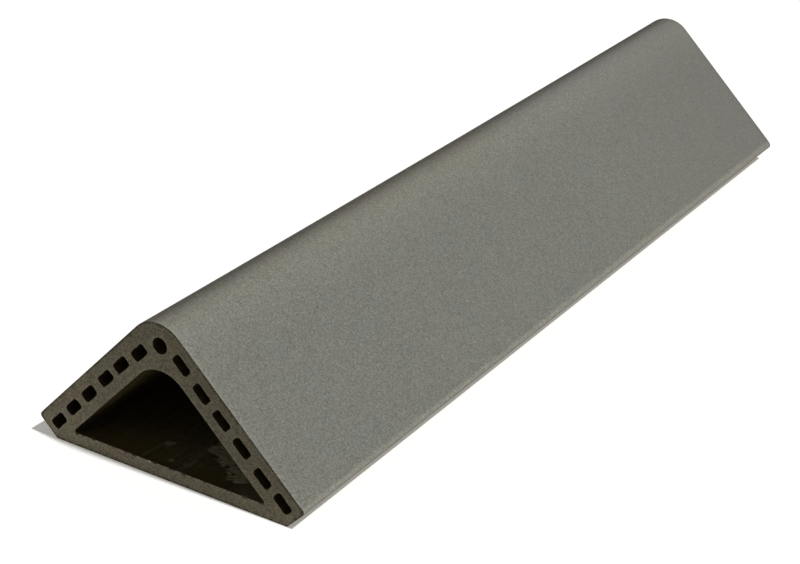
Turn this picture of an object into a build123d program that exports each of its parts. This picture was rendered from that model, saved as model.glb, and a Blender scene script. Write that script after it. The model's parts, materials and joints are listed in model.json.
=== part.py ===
from build123d import *
import math
import os

# Corner clay brick: one extruded and fired piece, cut to length at both ends.
# Its section is a right-angled corner of two legs, closed underneath by a thin back wall.
# It lies on the back wall with the ridge up. X runs from leg to leg, Y along the piece, Z up.

# Driving sizes, in millimetres
length = 600
leg_length = 130
leg_thickness = 20
tip_depth = 17
back_wall = 8.5
ridge_radius = 20
tip_radius = 2.5
base_corner_radius = 1
void_ridge_radius = 20
void_corner_radius = 1.2
cut_edge = 0.4

# Row of slots in each leg, counted from the ridge down to the tip
slots_per_leg = 6
slot_length = 12
slot_width = 6.6
slot_corner_radius = 2
first_slot = 30.9
last_slot_from_tip = 11.1
left_first_slot_shift = 1.5

# Round core under the ridge
core_radius = 4.8
core_depth = 13.2
core_side_shift = 1

# Each leg falls away from the ridge at this angle
leg_angle = 45
leg_slope = math.cos(math.radians(leg_angle))

# Levels above the base
sharp_ridge = (leg_length + tip_depth) * leg_slope
ridge_crest = sharp_ridge - ridge_radius * (1 / leg_slope - 1)
core_height = ridge_crest - core_depth

# Distance from the sharp ridge to the void's outer corners, measured along a leg
void_reach = leg_length + tip_depth - back_wall / leg_slope - leg_thickness

# The slots run down the middle of each leg, evenly spaced between the first and the last
slot_middle = leg_thickness / 2
slot_pitch = (leg_length - first_slot - last_slot_from_tip) / (slots_per_leg - 1)


def section_point(right, left):
    """Point of the section, by its distances from the sharp ridge along the right and the left leg."""
    return ((right - left) * leg_slope, sharp_ridge - (right + left) * leg_slope)


with BuildPart() as corner_brick:
    # Solid corner with square-cut leg tips
    with BuildSketch(Plane.XZ) as outline:
        with BuildLine():
            Polyline(
                section_point(0, 0),
                section_point(leg_length, 0),
                section_point(leg_length, tip_depth),
                section_point(tip_depth, leg_length),
                section_point(0, leg_length),
                close=True,
            )
        make_face()
        fillet(outline.vertices().group_by(Axis.Y)[2], ridge_radius)
        fillet(outline.vertices().group_by(Axis.Y)[1], tip_radius)
        fillet(outline.vertices().group_by(Axis.Y)[0], base_corner_radius)
    extrude(amount=length / 2, both=True)

    # Worn edges where the wire cut the piece to length
    cut_faces = corner_brick.faces().filter_by(Axis.Y)
    chamfer(cut_faces.edges(), cut_edge)

    # Triangular void between the legs and the back wall
    with BuildSketch(Plane.XZ) as void:
        with BuildLine():
            Polyline(
                section_point(leg_thickness, leg_thickness),
                section_point(void_reach, leg_thickness),
                section_point(leg_thickness, void_reach),
                close=True,
            )
        make_face()
        fillet(void.vertices().group_by(Axis.Y)[1], void_ridge_radius)
        fillet(void.vertices().group_by(Axis.Y)[0], void_corner_radius)
    extrude(amount=length / 2, both=True, mode=Mode.SUBTRACT)

    # Slots along both legs: the left leg's first one sits deeper in the wall than the rest
    with BuildSketch(Plane.XZ) as slots:
        for number in range(slots_per_leg):
            distance = first_slot + number * slot_pitch
            left_middle = slot_middle
            if number == 0:
                left_middle += left_first_slot_shift
            with Locations(section_point(distance, slot_middle)):
                RectangleRounded(slot_length, slot_width, slot_corner_radius, rotation=-leg_angle)
            with Locations(section_point(left_middle, distance)):
                RectangleRounded(slot_length, slot_width, slot_corner_radius, rotation=leg_angle)
    extrude(amount=length / 2, both=True, mode=Mode.SUBTRACT)

    # Round core under the ridge, a little to the right of it
    with BuildSketch(Plane.XZ) as core:
        with Locations((core_side_shift, core_height)):
            Circle(core_radius)
    extrude(amount=length / 2, both=True, mode=Mode.SUBTRACT)

corner_brick.part.label = "corner_brick"

os.makedirs("parts", exist_ok=True)
export_step(corner_brick.part, "parts/corner_brick.step")
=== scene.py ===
"""Corner clay brick: the look of its fired clay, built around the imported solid.

The solid gives the length, the slots and the round core. One detailed mesh stands for it: the same section,
swept along the piece, with worn cut edges, drag marks in the void and four clay finishes.
All lengths are in metres. X runs from leg to leg, Y along the brick, Z up.
A point of the section is written as the complex number x + z j.
"""
import cmath
import json
import math

import bpy
import numpy as np
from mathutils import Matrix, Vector, noise
from mathutils.geometry import delaunay_2d_cdt


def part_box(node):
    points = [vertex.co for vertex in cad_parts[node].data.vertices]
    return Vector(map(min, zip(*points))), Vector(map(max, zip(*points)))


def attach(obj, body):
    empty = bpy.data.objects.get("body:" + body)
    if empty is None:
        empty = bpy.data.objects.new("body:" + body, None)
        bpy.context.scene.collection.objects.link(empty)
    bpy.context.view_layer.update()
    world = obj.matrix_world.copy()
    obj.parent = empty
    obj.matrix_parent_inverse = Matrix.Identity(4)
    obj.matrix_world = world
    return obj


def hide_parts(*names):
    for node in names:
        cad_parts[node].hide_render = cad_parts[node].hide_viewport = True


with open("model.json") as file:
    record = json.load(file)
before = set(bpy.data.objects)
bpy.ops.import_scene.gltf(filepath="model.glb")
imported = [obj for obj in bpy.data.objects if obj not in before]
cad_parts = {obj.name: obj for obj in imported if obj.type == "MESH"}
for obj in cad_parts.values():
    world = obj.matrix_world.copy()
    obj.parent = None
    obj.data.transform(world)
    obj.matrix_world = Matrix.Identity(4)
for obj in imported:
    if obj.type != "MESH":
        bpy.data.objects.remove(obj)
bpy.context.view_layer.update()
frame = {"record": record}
record = frame["record"]

# The solid's only node, and its two cut ends
NODE = "corner_brick"
NEAR_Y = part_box(NODE)[0].y
FAR_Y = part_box(NODE)[1].y
HALF_BRICK = (FAR_Y - NEAR_Y) / 2

# Section sizes, the same as the solid's
LEG_LENGTH = 0.130
LEG_THICKNESS = 0.020
TIP_DEPTH = 0.017
BACK_WALL = 0.0085
RIDGE_RADIUS = 0.020
TIP_RADIUS = 0.0025
BASE_RADIUS = 0.001
VOID_RIDGE_RADIUS = 0.020
VOID_CORNER_RADIUS = 0.0012
SLOT_LENGTH = 0.012
SLOT_WIDTH = 0.0066
SLOT_RADIUS = 0.0020

# Each leg falls away from the ridge at 45 degrees
SLOPE = math.sqrt(0.5)
DOWN_RIGHT = cmath.exp(-0.25j * math.pi)
DOWN_LEFT = cmath.exp(-0.75j * math.pi)
SHARP_RIDGE = (LEG_LENGTH + TIP_DEPTH) * SLOPE
VOID_REACH = LEG_LENGTH + TIP_DEPTH - BACK_WALL / SLOPE - LEG_THICKNESS

# Slots that wander from their place in the row: distance down the leg, and j times the distance into the wall
SLOT_DRIFT = {
    "right_slot_2": 0.0004 + 0.0004j,
    "right_slot_4": -0.0002j,
    "right_slot_5": 0.0012 + 0.0006j,
    "right_slot_6": 0.0002 - 0.0006j,
    "left_slot_3": -0.0009 - 0.0001j,
    "left_slot_4": 0.0005 + 0.0002j,
    "left_slot_5": 0.0006 + 0.0001j,
    "left_slot_6": 0.0003 + 0.0004j,
}

# Slight wobble of a slot's walls: how far, and over what distance
SLOT_WOBBLE = 0.00025
WOBBLE_SIZE = 0.004

# Largest turn between two points of an arc, and the spacing of the points on straight runs
ARC_STEP = math.radians(8)
BACK_SPACING = 0.005
SKIN_SPACING = 0.0025
FLOOR_SPACING = 0.001
RIGHT_WALL_SPACING = 0.003
LEFT_WALL_SPACING = 0.0022
SLOT_SPACING = 0.0015

# Grid of points over a cut end: spacing, room to every edge, and the size of its unevenness
GRID_SPACING = 0.0017
GRID_ROOM = 0.0009
GRID_WANDER_SIZE = 0.0023
MERGE_DISTANCE = 1e-7

# First two rings behind a cut edge
FIRST_RINGS = [0.0005, 0.0014]

# Edges of the mesh sharper than this aren't smoothed
SHARP_ANGLE = math.radians(38)

# Worn edge round both cut ends: the steps round it, its usual size, and its nicks' size, level and depth
EDGE_STEPS = 4
EDGE_WEAR = 0.00012
FINE_WEAR_SIZE = 0.0012
NICK_SIZE = 0.005
NICK_LEVEL = 0.45
NICK_DEPTH = 4

# How far in from the end the wear is still felt, and how soon the relief of a wall begins
WEAR_REACH = 0.008
RELIEF_REACH = 0.0015

# Where a hole's near rim is worn deeper than this, the bite shows the darker clay of the hole
TORN_RIM = 0.00042

# Share of the rim's tone on each ring, from either end inwards. The tone darkens the rims: partly worn edges,
# partly painted shade on their rounding. At the near end it turns over on the way round the edge into a
# painted highlight on the sand coat.
NEAR_FADE = [1.0, 0.9, 0.5, 0.0, -0.4, -0.5, -0.3]
FAR_FADE = [0.6, 0.7, 0.9, 1.2, 1.3, 0.9, 0.2]

# Paler band that the wire leaves round the holes: how much paler, and how soon it fades
RIM_SMEAR = 0.10
RIM_SMEAR_REACH = 0.0012

# Relief: the swell and bands of the skin, the sag of the ridge, streaks in the holes, steps that the wire
# leaves on a cut face, and the lean of those steps
SWELL = 0.00003
BANDS = 0.00002
RIDGE_SAG = 0.0016
VOID_STREAKS = 0.00012
SLOT_STREAKS = 0.00010
WIRE_STEPS = 0.00004
WIRE_LEAN = 0.35

# Materials, by their slot on the mesh, and the layer of the mesh that holds the tones of rims and marks
SANDED, CUT, INNER, RAW = range(4)
TONE_LAYER = "edge_tone"


def section_point(right, left):
    """Point of the section, by its distances from the sharp ridge along the right and the left leg."""
    return complex((right - left) * SLOPE, SHARP_RIDGE - (right + left) * SLOPE)


def rounded_loop(corners):
    """Closed counter-clockwise outline. A corner is a place, a radius and the spacing of the run after it."""
    places, radii, spacings = zip(*corners)
    arcs = []
    for i, place in enumerate(places):
        after = places[(i + 1) % len(places)]
        into = (place - places[i - 1]) / abs(place - places[i - 1])
        out = (after - place) / abs(after - place)
        turn = cmath.phase(out / into)
        start = place - into * radii[i] * math.tan(turn / 2)
        centre = start + into * 1j * radii[i]
        steps = math.ceil(turn / ARC_STEP)
        arcs.append([centre + (start - centre) * cmath.exp(1j * turn * k / steps) for k in range(steps + 1)])
    points = []
    for arc, next_arc, spacing in zip(arcs, arcs[1:] + arcs[:1], spacings):
        run = next_arc[0] - arc[-1]
        steps = max(1, round(abs(run) / spacing))
        points += arc + [arc[-1] + run * k / steps for k in range(1, steps)]
    return np.array(points)


def outer_loop():
    return rounded_loop([
        (section_point(TIP_DEPTH, LEG_LENGTH), BASE_RADIUS, BACK_SPACING),
        (section_point(LEG_LENGTH, TIP_DEPTH), BASE_RADIUS, SKIN_SPACING),
        (section_point(LEG_LENGTH, 0), TIP_RADIUS, SKIN_SPACING),
        (section_point(0, 0), RIDGE_RADIUS, SKIN_SPACING),
        (section_point(0, LEG_LENGTH), TIP_RADIUS, SKIN_SPACING),
    ])


def void_loop():
    return rounded_loop([
        (section_point(LEG_THICKNESS, VOID_REACH), VOID_CORNER_RADIUS, FLOOR_SPACING),
        (section_point(VOID_REACH, LEG_THICKNESS), VOID_CORNER_RADIUS, RIGHT_WALL_SPACING),
        (section_point(LEG_THICKNESS, LEG_THICKNESS), VOID_RIDGE_RADIUS, LEFT_WALL_SPACING),
    ])


def slot_loop(name, box):
    """One slot of a leg, centred where the record's opening is, with the slight wobble of extruded walls."""
    on_right = name.startswith("right")
    along = DOWN_RIGHT if on_right else DOWN_LEFT
    drift = complex(SLOT_DRIFT.get(name, 0))
    low, high = np.array(box)
    middle = complex(low[0] + high[0], low[2] + high[2]) / 2
    middle += along * (drift.conjugate() if on_right else drift)
    signs = [(-1, -1), (1, -1), (1, 1), (-1, 1)]
    corners = [middle + along * complex(a * SLOT_LENGTH / 2, b * SLOT_WIDTH / 2) for a, b in signs]
    loop = rounded_loop([(corner, SLOT_RADIUS, SLOT_SPACING) for corner in corners])
    wobbles = [complex(wave(p, WOBBLE_SIZE, 11), wave(p, WOBBLE_SIZE, 12)) for p in loop]
    return loop + np.array(wobbles) * SLOT_WOBBLE


def core_loop():
    mount = next(m for m in record["mounts"] if m["name"] == "round_core")
    middle = complex(mount["pos_m"][0], mount["pos_m"][2])
    radius = mount["dims"]["r_mm"] / 1000
    steps = round(2 * math.pi / ARC_STEP)
    return np.array([middle + radius * cmath.exp(2j * math.pi * k / steps) for k in range(steps)])


def wave(point, size, seed, y=0.0, stretch=1.0):
    """Smooth noise from -1 to 1, with features about one size wide, and longer by the stretch along Y.

    Each kind of mark has a seed of its own.
    """
    place = Vector((point.real / size, point.imag / size, y / (size * stretch)))
    return noise.noise(place + Vector((seed, 0, 7 * seed)))


def clipped(value):
    return min(1.0, max(0.0, value))


def air_normals(loop, hole):
    """Unit normals of a loop in the section plane, pointing out of the clay."""
    along = np.roll(loop, -1) - np.roll(loop, 1)
    outward = -1j * along / abs(along)
    return -outward if hole else outward


def from_end(depth, end):
    """Y at a distance in from one cut end, 0 for the near one and 1 for the far one."""
    return NEAR_Y + depth if end == 0 else FAR_Y - depth


# Wear and relief

# Broken corners of the cut ends: place, end (0 near, 1 far), reach and depth
CHIPS = [
    (section_point(0.0, LEG_LENGTH - 0.0035), 0, 0.0012, 0.0008),
    (section_point(LEG_LENGTH - 0.0005, 0.0005), 0, 0.0020, 0.0005),
    (section_point(0.098, 0.0), 0, 0.0014, 0.0004),
    (section_point(LEG_LENGTH, 0.0), 1, 0.0030, 0.0011),
    (section_point(0.0, 0.047), 1, 0.0022, 0.0007),
]


def edge_wear(loop, end, rough):
    """Radius of the worn edge at each point of a loop: a fine line, a few nicks and the broken corners."""
    wear = []
    for point in loop:
        fine = abs(wave(point, FINE_WEAR_SIZE, 21 + end)) * rough
        nick = max(0.0, wave(point, NICK_SIZE, 23 + end) - NICK_LEVEL) * NICK_DEPTH * rough
        wear.append(EDGE_WEAR + fine + nick)
    wear = np.array(wear)
    for place, chip_end, reach, depth in CHIPS:
        if chip_end == end:
            wear += depth * np.exp(-(abs(loop - place) / reach) ** 2)
    return wear


def ragged_rim(loop, air, rough):
    """The wire tears the near rim of a hole where the clay faces up into it."""
    torn = np.array([max(0.0, 0.2 + 3.4 * wave(p, 0.0026, 71) + 2.2 * wave(p, 0.0013, 72)) for p in loop])
    return 1.4 * torn * rough * np.clip(air.imag, 0, 1)


def outer_relief(point, air, y):
    """Slow swell, faint lengthwise bands, and a ridge that sagged a little between its ends in the kiln."""
    swell = 1 + wave(point, 0.060, 31, y)
    bands = 1 + wave(point, 0.006, 32, y, 25)
    on_ridge = max(0.0, 1 - abs(point.real) / RIDGE_RADIUS)
    sag = on_ridge * (1 - (y / HALF_BRICK) ** 2)
    return -SWELL * swell - BANDS * bands - RIDGE_SAG * sag


# Drag lines on the floor of the void: x at the near mouth, drift, width, height, length, paleness
DRAG_LINES = [
    (-0.0186, 0.125, 0.0007, 0.00045, 0.045, 0.45),
    (0.0066, -0.045, 0.0006, 0.00035, 0.036, 0.45),
    (0.0086, -0.045, 0.0006, 0.00025, 0.036, 0.35),
    (0.0104, -0.050, 0.0006, 0.00022, 0.030, 0.30),
    (-0.0400, 0.020, 0.0010, 0.00015, 0.120, 0.05),
    (0.0300, 0.010, 0.0010, 0.00015, 0.120, 0.10),
]

# Crumbs of clay on that floor: x, distance from the near mouth, radius, height
CRUMBS = [
    (-0.0140, 0.0197, 0.0019, 0.0013),
    (-0.0021, 0.0073, 0.0017, 0.0009),
    (-0.0118, 0.0212, 0.0012, 0.0007),
    (0.0210, 0.0320, 0.0014, 0.0008),
]
CRUMB_PALENESS = 0.5

# Torn strip of that floor, from its deep end to the corner by the mouth: both ends, as x + j times the
# distance from the near mouth, half its width, and the width of its edge
TORN_FROM = complex(0.0145, 0.0315)
TORN_TO = complex(0.0405, 0.0155)
TORN_WIDTH = 0.0070
TORN_EDGE = 0.0012

# Relief and paleness of the torn clay, and the dark gashes in it. They are where the noise passes a level,
# which is lower by the strip's edge, and they are deeper and darker.
TORN_RELIEF = 0.0003
TORN_PALENESS = 1.8
GASH_LEVEL = 0.16
GASH_BY_EDGE = 0.20
GASH_DEPTH = 0.0012
GASH_DARKNESS = 9.0

# Dusty patch beside that strip: x, distance from the near mouth, half its width, half its depth, paleness
DUST = (0.004, 0.024, 0.022, 0.018, 0.080)

# Paler corner at the right end of that floor: where it begins, how far it takes to reach its paleness
CORNER_FROM = 0.040
CORNER_FADE = 0.010
CORNER_PALENESS = 0.22

# A wall that faces up more than this is the void's floor
FLOOR_FACING = 0.9


def drag_lines(x, y):
    """Height and paleness of the drag lines, broken here and there and fading with depth."""
    depth = y - NEAR_Y
    height = 0.0
    pale = 0.0
    broken = max(0.0, 0.6 + 1.1 * wave(x, 0.004, 42, y, 1.5))
    for start, drift, width, tall, length, tone in DRAG_LINES:
        line = math.exp(-((x - start - drift * depth) / width) ** 2) / (1 + (depth / length) ** 4)
        height += tall * line * broken
        pale += tone * line * broken
    return height, pale


def crumbs(x, y):
    """Height and paleness of the crumbs."""
    height = 0.0
    pale = 0.0
    lumpy = 1 + 0.4 * wave(x, 0.0012, 43, y)
    mottled = 1 + 1.2 * wave(x, 0.0014, 47, y)
    for crumb_x, crumb_depth, radius, tall in CRUMBS:
        crumb = math.exp(-(math.hypot(x - crumb_x, y - NEAR_Y - crumb_depth) / radius) ** 4)
        height += tall * crumb * lumpy
        pale += CRUMB_PALENESS * crumb * mottled
    return height, pale


def torn_strip(x, y):
    """Height and paleness of the torn strip, with its ragged outline and its gashes."""
    place = complex(x, y - NEAR_Y)
    along = TORN_TO - TORN_FROM
    nearest = TORN_FROM + along * clipped(((place - TORN_FROM) / along).real)
    ragged = 0.0024 * wave(x, 0.0060, 48, y) + 0.0012 * wave(x, 0.0026, 49, y, 0.6)
    inside = (TORN_WIDTH + ragged - abs(place - nearest)) / TORN_EDGE
    torn = clipped(inside + 0.5)
    by_edge = clipped(1 - inside / 3)
    gash = max(0.0, wave(x, 0.0036, 46, y, 0.4) - GASH_LEVEL + GASH_BY_EDGE * by_edge)
    height = TORN_RELIEF * wave(x, 0.0026, 44, y, 1.5) - GASH_DEPTH * gash
    pale = max(0.0, TORN_PALENESS + wave(x, 0.0050, 45, y) - GASH_DARKNESS * gash)
    return torn * height, torn * pale


def dusty_patch_and_pale_corner(x, y):
    """Height, which is none, and paleness of the mottled patch and of the pale corner."""
    dust_x, dust_depth, half_width, half_depth, dusty = DUST
    patch = math.exp(-((x - dust_x) / half_width) ** 4 - ((y - NEAR_Y - dust_depth) / half_depth) ** 4)
    mottled = max(0.0, 1 + 2.6 * wave(x, 0.0022, 50, y, 2.0))
    corner = clipped((x - CORNER_FROM) / CORNER_FADE)
    return 0.0, dusty * patch * mottled + CORNER_PALENESS * corner


def floor_marks(x, y):
    """Height and paleness of all the marks at a place on the void's floor."""
    heights, tones = zip(drag_lines(x, y), crumbs(x, y), torn_strip(x, y), dusty_patch_and_pale_corner(x, y))
    return sum(heights), sum(tones)


def void_relief(point, air, y):
    """Lengthwise streaks all round, and the floor's own marks."""
    height = VOID_STREAKS * wave(point, 0.004, 41, y, 12)
    return height + floor_marks(point.real, y)[0] if air.imag > FLOOR_FACING else height


def void_mark(point, air, y):
    """Tone of the floor's marks: below zero, so paler."""
    return -floor_marks(point.real, y)[1] if air.imag > FLOOR_FACING else 0.0


def no_mark(point, air, y):
    return 0.0


def slot_relief(point, air, y):
    return SLOT_STREAKS * wave(point, 0.003, 51, y, 10)


def cut_relief(point, end):
    """The wire leaves faint steps across the cut face, always below the end plane."""
    across = point * cmath.exp(1j * WIRE_LEAN)
    steps = wave(complex(across.real * 4, across.imag * 0.5), 0.004, 61 + end)
    return WIRE_STEPS * (1 + steps) + WIRE_STEPS * (1 + wave(point, 0.012, 63 + end))


# Mesh

class Shell:
    """Points and faces gathered before they become one mesh."""

    def __init__(self):
        self.points = []
        self.tones = []
        self.faces = []
        self.kinds = []

    def add_points(self, points, tones):
        first = len(self.points)
        self.points += points
        self.tones += tones
        return first

    def add_face(self, corners, kind):
        self.faces.append(corners)
        self.kinds.append(kind)


# How each kind of wall is swept: its relief and marks, how rough its cut edges are, the tone of those edges
# against the clay around them, and its rings at the near and the far end. An end's rings have a step, the
# distance over which it stays even, its growth after that, and how far short of the middle they stop.
OUTER_WALL = {
    "hole": False,
    "relief": outer_relief,
    "mark": no_mark,
    "rough": 0.00010,
    "rim_tone": 1.0,
    "rings": [(0.003, 0.120, 1.04, 0.0), (0.004, 0.060, 1.06, 0.004)],
}
VOID_WALL = {
    "hole": True,
    "relief": void_relief,
    "mark": void_mark,
    "rough": 0.00030,
    "rim_tone": -0.3,
    "rings": [(0.001, 0.045, 1.12, 0.0), (0.0025, 0.020, 1.15, 0.020)],
}
SLOT_WALL = {
    "hole": True,
    "relief": slot_relief,
    "mark": no_mark,
    "rough": 0.00012,
    "rim_tone": -0.2,
    "rings": [(0.0015, 0.006, 1.35, 0.0), (0.002, 0.004, 1.5, 0.030)],
}


def ring_depths(step, even_reach, growth, short):
    """Distances of the rings from one end: evenly spaced for a stretch, then growing towards the middle."""
    depths = list(FIRST_RINGS)
    while depths[-1] + step < HALF_BRICK - short:
        depths.append(depths[-1] + step)
        if depths[-1] > even_reach:
            step *= growth
    return depths


def half_rings(loop, air, end, wear, relief, depths):
    """Rings from one cut face to the middle: the section's points, and how far in from the end each is."""
    low = np.array([cut_relief(p, end) for p in loop])
    rings = []
    for step in range(EDGE_STEPS + 1):
        angle = 0.5 * math.pi * step / EDGE_STEPS
        section = loop - air * wear * (1 - math.sin(angle))
        rings.append((section, low * math.cos(angle) + wear * (1 - math.cos(angle))))
    for depth in depths:
        worn_depth = depth + wear * math.exp(-depth / WEAR_REACH)
        lift = [relief(p, a, y) for p, a, y in zip(loop, air, from_end(worn_depth, end))]
        blend = 1 - math.exp(-depth / RELIEF_REACH)
        rings.append((loop + air * np.array(lift) * blend, worn_depth))
    return rings


def outer_kind(air):
    """The sand coat covers the legs and the ridge; the leg tips and the back are bare."""
    return SANDED if air.imag > -0.3 * abs(air) else RAW


def sweep(shell, loop, hole, relief, mark, rough, rim_tone, rings):
    """Skins one loop from end to end and returns the indices of its first and last ring."""
    air = air_normals(loop, hole)
    count = len(loop)
    near_wear = edge_wear(loop, 0, rough)
    if hole:
        near_wear += ragged_rim(loop, air, rough)
    near = half_rings(loop, air, 0, near_wear, relief, ring_depths(*rings[0]))
    far = half_rings(loop, air, 1, edge_wear(loop, 1, rough), relief, ring_depths(*rings[1]))
    ordered = [(section, from_end(depth, 0)) for section, depth in near]
    ordered += [(section, from_end(depth, 1)) for section, depth in reversed(far)]
    between = [0.0] * (len(ordered) - len(NEAR_FADE) - len(FAR_FADE))
    fades = NEAR_FADE + between + FAR_FADE[::-1]
    bitten = near_wear > (TORN_RIM if hole else math.inf)
    firsts = []
    for number, ((section, place), fade) in enumerate(zip(ordered, fades)):
        tones = np.where(bitten & (number < len(NEAR_FADE)), 0.0, rim_tone * fade)
        marks = [tone + mark(p, a, y) for tone, p, a, y in zip(tones, loop, air, place)]
        firsts.append(shell.add_points([(p.real, y, p.imag) for p, y in zip(section, place)], marks))
    edge_rings = EDGE_STEPS // 2 if hole else EDGE_STEPS
    for number, (ring, next_ring) in enumerate(zip(firsts, firsts[1:])):
        on_edge = number < edge_rings or number >= len(firsts) - 1 - edge_rings
        for i in range(count):
            j = (i + 1) % count
            corners = (ring + i, ring + j, next_ring + j, next_ring + i)
            wall_kind = INNER if hole else outer_kind(air[i] + air[j])
            in_bite = bitten[i] and number < edge_rings
            shell.add_face(corners if hole else corners[::-1], CUT if on_edge and not in_bite else wall_kind)
    return range(firsts[0], firsts[0] + count), range(firsts[-1], firsts[-1] + count)


def cap(shell, rings, end):
    """Closes one cut end between the outer ring and the rings of the holes."""
    loops = [np.array([complex(shell.points[i][0], shell.points[i][2]) for i in ring]) for ring in rings]
    indices = [i for ring in rings for i in ring]
    rim = np.concatenate(loops)
    hole_rim = np.concatenate(loops[1:])
    edges = []
    for loop in loops:
        start = len(edges)
        edges += [(start + i, start + (i + 1) % len(loop)) for i in range(len(loop))]
    grid = cap_grid(rim)
    points = [Vector((p.real, p.imag)) for p in np.concatenate([rim, grid[in_clay(grid, loops)]])]
    vertices, _, triangles, sources = delaunay_2d_cdt(points, edges, [], 0, MERGE_DISTANCE)[:4]
    flat = np.array([complex(v.x, v.y) for v in vertices])
    place = []
    for point, source in zip(flat, sources):
        if source and source[0] < len(indices):
            place.append(indices[source[0]])
            continue
        y = from_end(cut_relief(point, end), end)
        smear = -RIM_SMEAR * math.exp(-abs(hole_rim - point).min() / RIM_SMEAR_REACH)
        place.append(shell.add_points([(point.real, y, point.imag)], [smear]))
    triangles = np.array(triangles)
    for triangle in triangles[in_clay(flat[triangles].mean(axis=1), loops)]:
        corners = [place[v] for v in triangle]
        shell.add_face(corners if end == 0 else corners[::-1], CUT)


def cap_grid(rim):
    """Slightly uneven grid of points over a cut end, clear of every edge."""
    xs = np.arange(rim.real.min(), rim.real.max(), GRID_SPACING)
    zs = np.arange(rim.imag.min(), rim.imag.max(), GRID_SPACING)
    grid = [complex(x, z) for x in xs for z in zs]
    grid = [p + complex(wave(p, GRID_WANDER_SIZE, 81), wave(p, GRID_WANDER_SIZE, 82)) * GRID_SPACING * 0.5
            for p in grid]
    return np.array([p for p in grid if abs(rim - p).min() > GRID_ROOM])


def in_clay(points, loops):
    """Even-odd test of points against the outer loop and the holes."""
    inside = np.zeros(len(points), bool)
    for loop in loops:
        for start, stop in zip(loop, np.roll(loop, -1)):
            crosses = (start.imag > points.imag) != (stop.imag > points.imag)
            rise = stop.imag - start.imag or 1.0
            x = start.real + (points.imag - start.imag) / rise * (stop.real - start.real)
            inside ^= crosses & (x > points.real)
    return inside


def build_clay():
    """The whole brick: the outer skin, the void, the round core and the slots, closed by the two cut ends."""
    shell = Shell()
    slots = [slot_loop(o["name"], o["box_m"]) for o in record["physics"]["openings"] if "slot" in o["name"]]
    swept = [sweep(shell, outer_loop(), **OUTER_WALL), sweep(shell, void_loop(), **VOID_WALL)]
    swept += [sweep(shell, loop, **SLOT_WALL) for loop in [core_loop()] + slots]
    cap(shell, [first for first, last in swept], 0)
    cap(shell, [last for first, last in swept], 1)
    return shell


def make_object(name, shell, materials):
    mesh = bpy.data.meshes.new(name)
    mesh.from_pydata(shell.points, [], shell.faces)
    for material in materials:
        mesh.materials.append(material)
    mesh.polygons.foreach_set("material_index", shell.kinds)
    tones = mesh.attributes.new(TONE_LAYER, "FLOAT", "POINT")
    tones.data.foreach_set("value", shell.tones)
    mesh.shade_smooth()
    mesh.set_sharp_from_angle(angle=SHARP_ANGLE)
    mesh.validate()
    made = bpy.data.objects.new(name, mesh)
    bpy.context.collection.objects.link(made)
    return made


# Materials

# Ranges of the colour ramps: across, up and along the brick, out through the right leg, and over the leg tips
ACROSS = (-0.092, 0.092)
UP = (0.0, 0.1)
ALONG = (NEAR_Y, FAR_Y)
OUTWARD = (0.0, 0.2)
TIP_RANGE = (0.08, 0.1)

# Size of the clay's grains, and the height of the relief that they give
GRAIN_SIZE = 0.00065
GRAIN_RELIEF = 0.0002


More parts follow.
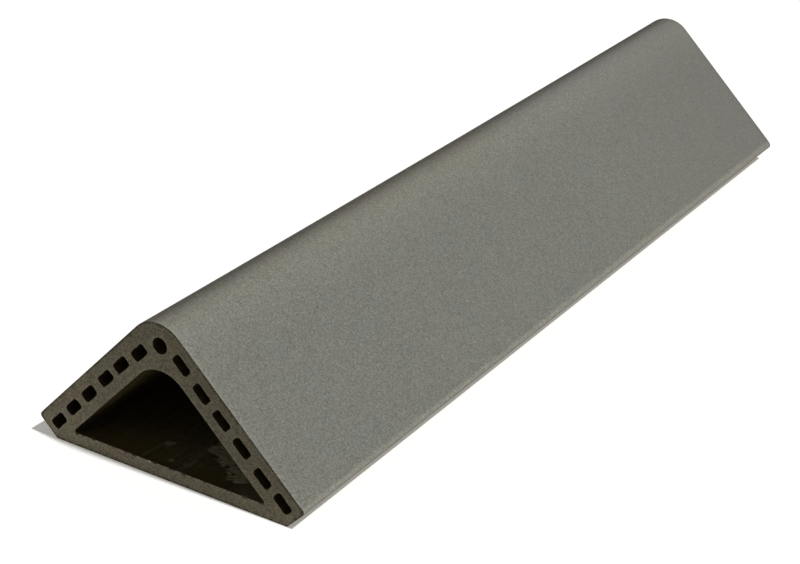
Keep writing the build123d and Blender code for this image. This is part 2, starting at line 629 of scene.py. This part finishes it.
class Surface:
    """One clay finish: short calls that add its nodes and link them."""

    def __init__(self, name, roughness, gloss):
        self.material = bpy.data.materials.new(name)
        self.material.use_nodes = True
        self.tree = self.material.node_tree
        self.shader = self.tree.nodes["Principled BSDF"]
        self.shader.inputs["Roughness"].default_value = roughness
        self.shader.inputs["Specular IOR Level"].default_value = gloss
        self.place = self.tree.nodes.new("ShaderNodeTexCoord").outputs["Object"]

    def feed(self, value, socket):
        if isinstance(value, bpy.types.NodeSocket):
            self.tree.links.new(value, socket)
        else:
            socket.default_value = value

    def math(self, operation, first, second=0.0, clamp=False):
        node = self.tree.nodes.new("ShaderNodeMath")
        node.operation = operation
        node.use_clamp = clamp
        self.feed(first, node.inputs[0])
        self.feed(second, node.inputs[1])
        return node.outputs[0]

    def plus(self, first, second):
        return self.math("ADD", first, second)

    def times(self, first, second):
        return self.math("MULTIPLY", first, second)

    def axis(self, name):
        node = self.tree.nodes.new("ShaderNodeSeparateXYZ")
        self.feed(self.place, node.inputs[0])
        return node.outputs[name]

    def tone(self):
        """Tone that the mesh carries: above zero on darker rims, below zero on paler marks."""
        node = self.tree.nodes.new("ShaderNodeAttribute")
        node.attribute_name = TONE_LAYER
        return node.outputs["Fac"]

    def rim_shade(self, strength):
        """Factor that darkens or lightens by the mesh's tone."""
        return self.math("SUBTRACT", 1.0, self.times(self.tone(), strength))

    def stretched(self, scale):
        """Object coordinates with each axis multiplied, for streaks."""
        node = self.tree.nodes.new("ShaderNodeMapping")
        self.feed(self.place, node.inputs["Vector"])
        node.inputs["Scale"].default_value = scale
        return node.outputs[0]

    def spots(self, places, radius):
        """1 inside round spots at the given places, fading to 0 between 0.5 and 1.5 times the radius."""
        total = 0.0
        for place in places:
            node = self.tree.nodes.new("ShaderNodeVectorMath")
            node.operation = "DISTANCE"
            self.feed(self.place, node.inputs[0])
            node.inputs[1].default_value = place
            away = self.math("DIVIDE", node.outputs["Value"], radius)
            total = self.plus(total, self.math("SUBTRACT", 1.5, away, clamp=True))
        return total

    def noise(self, size, detail=2.0, roughness=0.5, scale=None):
        node = self.tree.nodes.new("ShaderNodeTexNoise")
        self.feed(self.stretched(scale) if scale else self.place, node.inputs["Vector"])
        node.inputs["Scale"].default_value = 1 / size
        node.inputs["Detail"].default_value = detail
        node.inputs["Roughness"].default_value = roughness
        return node.outputs["Fac"]

    def grains(self, size):
        """Sand grains of about one size: a random tone for each, and the distance from its middle."""
        node = self.tree.nodes.new("ShaderNodeTexVoronoi")
        self.feed(self.place, node.inputs["Vector"])
        node.inputs["Scale"].default_value = 1 / size
        tone = self.tree.nodes.new("ShaderNodeSeparateColor")
        self.tree.links.new(node.outputs["Color"], tone.inputs[0])
        return tone.outputs[0], node.outputs["Distance"]

    def around_one(self, parts):
        """1 plus each noise's distance from its middle times its strength."""
        total = 1.0
        for value, strength in parts:
            centred = self.math("SUBTRACT", value, 0.5)
            total = self.plus(total, self.times(centred, strength))
        return total

    def ramp(self, value, stops, span=(0.0, 1.0)):
        """Colours at places along a value that runs over the span. A single number stands for a grey."""
        low, high = span
        reach = self.tree.nodes.new("ShaderNodeMapRange")
        self.feed(value, reach.inputs["Value"])
        reach.inputs["From Min"].default_value = low
        reach.inputs["From Max"].default_value = high
        node = self.tree.nodes.new("ShaderNodeValToRGB")
        self.tree.links.new(reach.outputs[0], node.inputs[0])
        elements = node.color_ramp.elements
        while len(elements) < len(stops):
            elements.new(0.5)
        for element, (place, colour) in zip(elements, stops):
            red_green_blue = colour if isinstance(colour, tuple) else (colour, colour, colour)
            element.position = (place - low) / (high - low)
            element.color = (*red_green_blue, 1)
        return node.outputs[0]

    def mix(self, kind, factor, first, second):
        node = self.tree.nodes.new("ShaderNodeMix")
        node.data_type = "RGBA"
        node.blend_type = kind
        self.feed(factor, node.inputs[0])
        for value, socket in ((first, node.inputs[6]), (second, node.inputs[7])):
            self.feed((*value, 1) if isinstance(value, tuple) else value, socket)
        return node.outputs[2]

    def tinted(self, colour, *tints):
        """The colour multiplied by each tint in turn."""
        for tint in tints:
            colour = self.mix("MULTIPLY", 1.0, colour, tint)
        return colour

    def bump(self, height, distance, strength):
        node = self.tree.nodes.new("ShaderNodeBump")
        self.feed(height, node.inputs["Height"])
        node.inputs["Distance"].default_value = distance
        node.inputs["Strength"].default_value = strength
        return node.outputs[0]

    def finish(self, colour, normal):
        self.tree.links.new(colour, self.shader.inputs["Base Color"])
        self.tree.links.new(normal, self.shader.inputs["Normal"])
        return self.material


# Small dark pits in the sand coat, and the pale grain that the wire laid bare on the near end
PITS = [
    (0.0152, 0.2577, 0.0887),
    (0.0318, -0.2032, 0.0721),
    (-0.0420, -0.0900, 0.0619),
    (-0.0610, 0.1700, 0.0429),
]
PIT_RADIUS = 0.0007
FLECKS = [(-0.0118, NEAR_Y, 0.0081)]
FLECK_RADIUS = 0.00055


def sanded_material():
    """Fine grey sand coat: thinner and browner over the ridge, with painted shade on its left side, paler
    just below it on the right, and a painted highlight along the leg tips.
    """
    s = Surface("sanded_clay", roughness=0.95, gloss=0.1)
    grey = (0.171, 0.171, 0.147)
    tip_highlight = (0.232, 0.228, 0.190)
    pit = (0.040, 0.038, 0.030)
    speck = (0.300, 0.290, 0.240)
    ridge_coat_and_shade = [
        (-0.0330, grey),
        (-0.0230, (0.182, 0.180, 0.155)),
        (-0.0155, (0.178, 0.175, 0.148)),
        (-0.0110, (0.126, 0.121, 0.099)),
        (-0.0070, (0.090, 0.086, 0.070)),
        (-0.0040, (0.117, 0.111, 0.090)),
        (-0.0020, (0.138, 0.131, 0.108)),
        (0.0005, (0.166, 0.159, 0.133)),
        (0.0030, (0.188, 0.184, 0.154)),
        (0.0075, (0.201, 0.199, 0.164)),
        (0.0150, (0.192, 0.190, 0.162)),
        (0.0220, (0.182, 0.180, 0.155)),
        (0.0330, grey),
    ]
    # Coat across the ridge: thinner and browner over it, with painted shade darkest on its left side, away
    # from the lamp.
    # Its lines wander a little, and move aside and turn cooler towards the far end.
    from_ridge = s.math("ABSOLUTE", s.axis("X"))
    far_half = s.ramp(s.axis("Y"), [(0.0, 0.0), (0.12, 1.0)], ALONG)
    wander = s.times(s.math("SUBTRACT", s.noise(0.045, 3.0), 0.5), 0.0025)
    wander = s.plus(wander, s.times(far_half, 0.0009))
    base = s.ramp(s.plus(s.axis("X"), wander), ridge_coat_and_shade, ACROSS)
    by_ridge = s.ramp(from_ridge, [(0.0, 1.0), (0.016, 0.0)], UP)
    base = s.mix("MULTIPLY", s.times(by_ridge, far_half), base, (1.0, 1.02, 1.10))
    # Painted highlight on the rounding of the leg tips, as if lit from the white floor below, a little wider
    # towards the far end and with an uneven edge
    widening = s.times(s.math("MAXIMUM", s.axis("Y"), -0.15), 0.0028)
    by_tip = s.plus(s.plus(from_ridge, widening), s.times(s.noise(0.018, 3.0), 0.0016))
    base = s.mix("MIX", s.ramp(by_tip, [(0.0894, 0.0), (0.0910, 1.0)], TIP_RANGE), base, tip_highlight)
    # Grain, softer towards the far end, and slow changes of tone and tint
    grain, grain_distance = s.grains(GRAIN_SIZE)
    fine = s.noise(0.0010, 3.0, 0.75)
    softer = s.ramp(s.axis("Y"), [(NEAR_Y, 1.09), (-0.060, 1.0), (0.080, 1.0), (FAR_Y, 0.58)], ALONG)
    cloud = s.noise(0.014, 3.0)
    slow = s.noise(0.110, 2.0)
    tone = s.around_one([
        (grain, s.times(softer, 0.46)),
        (fine, s.times(softer, 0.80)),
        (cloud, 0.05),
        (slow, 0.03),
    ])
    tint = s.ramp(s.noise(0.016, 2.0), [(0.35, (0.986, 1.0, 1.014)), (0.65, (1.014, 1.0, 0.983))])
    far_tint = s.ramp(s.axis("Y"), [(NEAR_Y, 1.0), (0.1, 1.0), (FAR_Y, (0.96, 0.94, 0.955))], ALONG)
    # The mesh's tone darkens the rims, partly worn edge and partly painted shade, and adds a painted
    # highlight past the near edge
    colour = s.tinted(base, s.times(tone, s.rim_shade(0.3)), tint, far_tint)
    # Pits and pale specks
    colour = s.mix("MIX", s.times(s.spots(PITS, PIT_RADIUS), 0.6), colour, pit)
    specks = s.math("GREATER_THAN", s.grains(0.0010)[0], 0.992)
    colour = s.mix("MIX", s.times(specks, 0.4), colour, speck)
    height = s.math("SUBTRACT", fine, grain_distance)
    return s.finish(colour, s.bump(height, GRAIN_RELIEF, 0.6))


def cut_material():
    """Cut clay: olive brown with fine grains, darker down the right leg, and with painted light that makes it
    paler low on the walls.
    """
    s = Surface("cut_clay", roughness=0.9, gloss=0.15)
    brown = (0.148, 0.129, 0.086)
    speck = (0.270, 0.230, 0.150)
    fleck = (0.600, 0.540, 0.420)
    # Slow changes of tone across the face and from the inner to the outer side of the right leg, and painted
    # light low on the walls
    shares = [
        (-0.091, 1.19),
        (-0.060, 1.18),
        (-0.034, 1.00),
        (-0.012, 0.98),
        (0.030, 0.885),
        (0.067, 0.93),
        (0.088, 1.04),
    ]
    base = s.ramp(s.axis("X"), [(x, tuple(share * c for c in brown)) for x, share in shares], ACROSS)
    low_wall_light = s.ramp(s.axis("Z"), [(0.002, 1.17), (0.008, 1.10), (0.020, 1.0)], UP)
    inner_side = SHARP_RIDGE - 2 * LEG_THICKNESS * SLOPE
    outward = s.ramp(s.plus(s.axis("X"), s.axis("Z")), [(inner_side, 1.04), (SHARP_RIDGE, 0.97)], OUTWARD)
    # Grain, streaks and mottle
    streak = s.noise(0.006, 3.0, 0.6, scale=(1.0, 1.0, 0.25))
    grain, grain_distance = s.grains(GRAIN_SIZE)
    fine = s.noise(0.0010, 3.0, 0.7)
    tone = s.around_one([(grain, 0.75), (fine, 0.90), (s.noise(0.0070, 2.0), 0.30), (streak, 0.45)])
    tint = s.ramp(s.noise(0.0080, 2.0), [(0.40, (0.97, 1.0, 1.02)), (0.60, (1.03, 1.0, 0.98))])
    # The mesh's tone darkens the outer rims, partly worn edge and partly painted shade, and makes the holes'
    # rims paler
    colour = s.tinted(base, low_wall_light, outward, s.times(tone, s.rim_shade(0.75)), tint)
    # Pale specks, and the laid-bare grain
    specks = s.math("GREATER_THAN", s.grains(0.0009)[0], 0.990)
    colour = s.mix("MIX", s.times(specks, 0.6), colour, speck)
    colour = s.mix("MIX", s.spots(FLECKS, FLECK_RADIUS), colour, fleck)
    height = s.math("SUBTRACT", fine, grain_distance)
    return s.finish(colour, s.bump(height, GRAIN_RELIEF, 0.6))


def inner_material():
    """Dark clay inside the void and the slots, streaked lengthwise where it slid over the die, with painted
    shade on the walls, at the left edge and at both mouths.
    """
    s = Surface("inner_clay", roughness=0.6, gloss=0.22)
    mouth_shade = (0.34, 0.23, 0.07)
    mouth_half_shade = (0.74, 0.70, 0.50)
    torn_clay = (0.43, 0.38, 0.24)
    streak = s.noise(0.0025, 4.0, 0.6, scale=(1.0, 0.06, 1.0))
    base = s.ramp(streak, [(0.35, (0.038, 0.029, 0.010)), (0.65, (0.063, 0.048, 0.016))])
    # Painted light and shade: the walls are darker than the floor, it is paler left of the middle and dim at
    # its left edge, and both mouths are darkest
    wall_shade = s.ramp(s.axis("Z"), [(BACK_WALL + 0.001, 1.0), (BACK_WALL + 0.006, (0.68, 0.64, 0.36))], UP)
    shares = [(-0.070, 0.6), (-0.062, 0.8), (-0.054, 1.25), (-0.030, 1.25), (-0.010, 1.1), (0.0, 1.0)]
    across = s.ramp(s.axis("X"), shares, ACROSS)
    mouth_shades = [
        (NEAR_Y + 0.0005, mouth_shade),
        (NEAR_Y + 0.0070, mouth_half_shade),
        (NEAR_Y + 0.0160, 1.0),
        (FAR_Y - 0.0160, 1.0),
        (FAR_Y - 0.0070, mouth_half_shade),
        (FAR_Y - 0.0005, mouth_shade),
    ]
    base = s.tinted(base, wall_shade, across, s.ramp(s.axis("Y"), mouth_shades, ALONG))
    # The floor's pale marks, mottled by the fine noise
    fine = s.noise(0.0012, 3.0, 0.7)
    mottle = s.plus(s.times(fine, 3.0), -0.82)
    pale = s.math("MULTIPLY", s.times(s.tone(), -1.0), mottle, clamp=True)
    base = s.mix("MIX", pale, base, torn_clay)
    colour = s.tinted(base, s.around_one([(fine, 0.7)]))
    height = s.plus(fine, s.times(streak, 2.0))
    return s.finish(colour, s.bump(height, 0.0003, 0.7))


def raw_material():
    """Bare extruded clay on the leg tips and the back: smooth, brown, with lengthwise drag streaks."""
    s = Surface("raw_clay", roughness=0.8, gloss=0.2)
    streak = s.noise(0.003, 4.0, 0.6, scale=(1.0, 0.05, 1.0))
    base = s.ramp(streak, [(0.35, (0.112, 0.098, 0.070)), (0.65, (0.150, 0.132, 0.094))])
    fine = s.noise(0.0012, 3.0, 0.7)
    tone = s.around_one([(fine, 0.6), (s.noise(0.03), 0.2)])
    # The mesh's tone adds a painted highlight just past the near edge and darkens the rims, partly worn edge
    # and partly painted shade
    colour = s.tinted(base, s.times(tone, s.rim_shade(0.3)))
    return s.finish(colour, s.bump(s.plus(fine, streak), 0.00025, 0.6))


finishes = [sanded_material(), cut_material(), inner_material(), raw_material()]
clay_body = make_object("clay_body", build_clay(), finishes)
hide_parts(NODE)
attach(clay_body, "root")


# Floor, light and camera

KEY_ELEVATION = math.radians(56)
KEY_TURN = math.radians(2.5)
KEY_SPREAD = math.radians(2.5)
KEY_LEVEL = 0.90
SKY_LEVEL = 0.16
FLOOR_HALF_SIZE = 6.0
FLOOR_COLOUR = (0.90, 0.90, 0.90)
GLOW_COLOUR = (0.26, 0.25, 0.23)

# The photograph's view, from a fit to the brick's edges; the camera is level
CAMERA_PLACE = Vector((0.5563, -0.9162, 0.5249))
CAMERA_AIM = Vector((0.0, -0.0729, 0.0254))
FOCAL_PIXELS = 1801.6
PICTURE_WIDTH = 800
SENSOR_WIDTH = 36


def backdrop_rays(tree):
    """1 for the rays that see the background itself: the camera's and those mirrored or let through."""
    path = tree.nodes.new("ShaderNodeLightPath")
    total = path.outputs["Is Camera Ray"]
    for name in ("Is Glossy Ray", "Is Transmission Ray"):
        node = tree.nodes.new("ShaderNodeMath")
        node.operation = "MAXIMUM"
        tree.links.new(total, node.inputs[0])
        tree.links.new(path.outputs[name], node.inputs[1])
        total = node.outputs[0]
    return total


def make_floor():
    """White floor that keeps the shadow. A little glow, for backdrop rays only, lifts it to plain white."""
    half = FLOOR_HALF_SIZE
    corners = [(-half, -half, 0), (half, -half, 0), (half, half, 0), (-half, half, 0)]
    mesh = bpy.data.meshes.new("floor")
    mesh.from_pydata(corners, [], [(0, 1, 2, 3)])
    floor = bpy.data.objects.new("floor", mesh)
    bpy.context.collection.objects.link(floor)
    material = bpy.data.materials.new("floor_white")
    material.use_nodes = True
    tree = material.node_tree
    shader = tree.nodes["Principled BSDF"]
    shader.inputs["Roughness"].default_value = 1.0
    shader.inputs["Specular IOR Level"].default_value = 0.0
    shader.inputs["Base Color"].default_value = (*FLOOR_COLOUR, 1)
    shader.inputs["Emission Color"].default_value = (*GLOW_COLOUR, 1)
    tree.links.new(backdrop_rays(tree), shader.inputs["Emission Strength"])
    mesh.materials.append(material)


def make_sky():
    """Even soft light all round; the rays that see the background find it white."""
    world = bpy.data.worlds.new("studio")
    bpy.context.scene.world = world
    world.use_nodes = True
    tree = world.node_tree
    background = tree.nodes["Background"]
    background.inputs["Color"].default_value = (1, 1, 1, 1)
    level = tree.nodes.new("ShaderNodeMapRange")
    tree.links.new(backdrop_rays(tree), level.inputs["Value"])
    level.inputs["To Min"].default_value = SKY_LEVEL
    level.inputs["To Max"].default_value = 1.0
    tree.links.new(level.outputs[0], background.inputs["Strength"])


def make_key():
    """Lamp like a small sun, high on the right, almost square to the brick's length and a little past it."""
    lamp = bpy.data.lights.new("key", "SUN")
    lamp.energy = KEY_LEVEL * math.pi
    lamp.angle = KEY_SPREAD
    key = bpy.data.objects.new("key", lamp)
    key.rotation_euler = (0, math.pi / 2 - KEY_ELEVATION, KEY_TURN)
    bpy.context.collection.objects.link(key)


def make_camera():
    lens = bpy.data.cameras.new("camera")
    lens.sensor_width = SENSOR_WIDTH
    lens.lens = FOCAL_PIXELS * SENSOR_WIDTH / PICTURE_WIDTH
    lens.clip_start = 0.01
    camera = bpy.data.objects.new("camera", lens)
    camera.location = CAMERA_PLACE
    camera.rotation_euler = (CAMERA_AIM - CAMERA_PLACE).to_track_quat("-Z", "Y").to_euler()
    bpy.context.collection.objects.link(camera)
    bpy.context.scene.camera = camera


make_floor()
make_sky()
make_key()
make_camera()
bpy.context.scene.view_settings.view_transform = "Standard"
